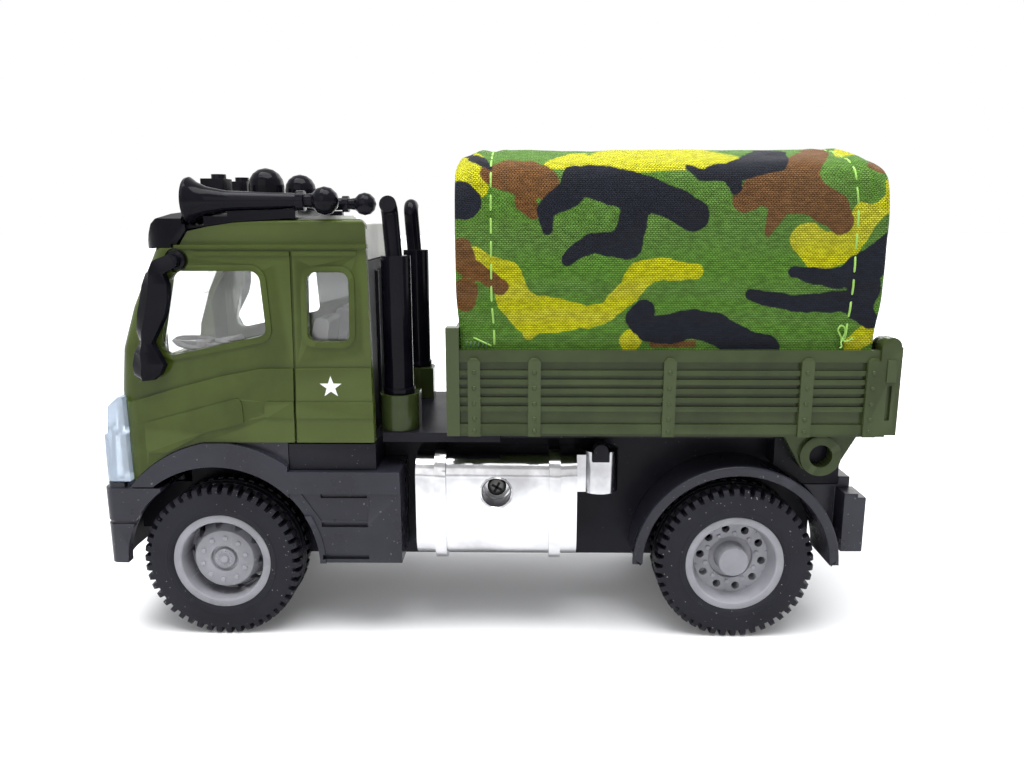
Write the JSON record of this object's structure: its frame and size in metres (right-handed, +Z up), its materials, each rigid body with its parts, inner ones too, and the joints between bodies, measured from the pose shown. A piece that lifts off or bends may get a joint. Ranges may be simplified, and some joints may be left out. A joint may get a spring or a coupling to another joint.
{
  "type": "toy military cargo truck",
  "caption": "Toy cab-over military cargo truck with a tipping drop-side bed, a swinging tailgate, a camouflage cloth canopy and free-rolling wheels",
  "frame": {"origin": "On the ground under the middle of the truck, at the bottom centre of its bounding box", "axes": "+X forwards along the truck, +Y to its left, +Z up"},
  "size_m": [0.1236, 0.04, 0.0773],
  "materials": {
    "chassis_black": "satin moulded black plastic",
    "cab_paint": "glossy olive green paint over die-cast metal",
    "bed_green": "dark green moulded plastic",
    "clear": "clear moulded plastic",
    "interior_grey": "grey moulded plastic",
    "pale_insert": "off-white moulded plastic",
    "plated": "vacuum-plated plastic",
    "gloss_black": "glossy black plastic",
    "tyre": "soft black vinyl",
    "rim_grey": "silver grey moulded plastic",
    "steel": "plain steel pin",
    "canvas": "woven cotton with a printed woodland camouflage pattern",
    "frame_green": "dark green moulded plastic"
  },
  "bodies": {
    "truck": {"chassis_frame": "chassis_black", "base_plate": "chassis_black", "front_bumper": "chassis_black", "grille_panel": "chassis_black", "rear_bumper": "chassis_black", "cab_shell": "cab_paint", "cab_glazing": "clear", "cab_interior": "interior_grey", "cab_rear_panel": "chassis_black", "steering_wheel": "interior_grey", "roof_insert": "pale_insert", "visor_bar": "gloss_black", "skirt_left": "chassis_black", "skirt_right": "chassis_black", "mudguard_left": "chassis_black", "mudguard_right": "chassis_black", "fuel_tank_left": "plated", "fuel_tank_right": "plated", "air_tank_left": "plated", "air_tank_right": "plated", "tank_clip_left": "chassis_black", "tank_clip_right": "chassis_black", "headlight_left": "clear", "headlight_right": "clear", "roof_lamp_left": "gloss_black", "roof_lamp_right": "gloss_black", "beacon_left": "gloss_black", "beacon_right": "gloss_black", "horn_left": "gloss_black", "horn_right": "gloss_black", "mirror_left": "gloss_black", "mirror_right": "gloss_black", "exhaust_stack_left": "gloss_black", "exhaust_stack_right": "gloss_black", "exhaust_bracket_left": "bed_green", "exhaust_bracket_right": "bed_green"},
    "front_wheels": {"front_axle": "steel", "rim_front_left": "rim_grey", "tyre_front_left": "tyre", "rim_front_right": "rim_grey", "tyre_front_right": "tyre"},
    "rear_wheels": {"rear_axle": "steel", "rim_rear_left": "rim_grey", "tyre_rear_left": "tyre", "rim_rear_right": "rim_grey", "tyre_rear_right": "tyre"},
    "bed": {"cargo_bed": "bed_green", "canopy_frame": "frame_green", "canopy_cover": "canvas"},
    "gate": {"tailgate": "bed_green"}
  },
  "joints": [
    {"name": "front_axle_spin", "type": "hinge", "parent": "truck", "child": "front_wheels", "pos_m": [0.0436, 0, 0.0125], "axis": [0, 1, 0], "continuous": true},
    {"name": "rear_axle_spin", "type": "hinge", "parent": "truck", "child": "rear_wheels", "pos_m": [-0.0384, 0, 0.0125], "axis": [0, 1, 0], "continuous": true},
    {"name": "bed_tip", "type": "hinge", "parent": "truck", "child": "bed", "pos_m": [-0.0509, 0, 0.0302], "axis": [0, -1, 0], "range_deg": [0, 45]},
    {"name": "tailgate_swing", "type": "hinge", "parent": "bed", "child": "gate", "pos_m": [-0.05935, 0, 0.04765], "axis": [0, 1, 0], "range_deg": [0, 80]}
  ]
}
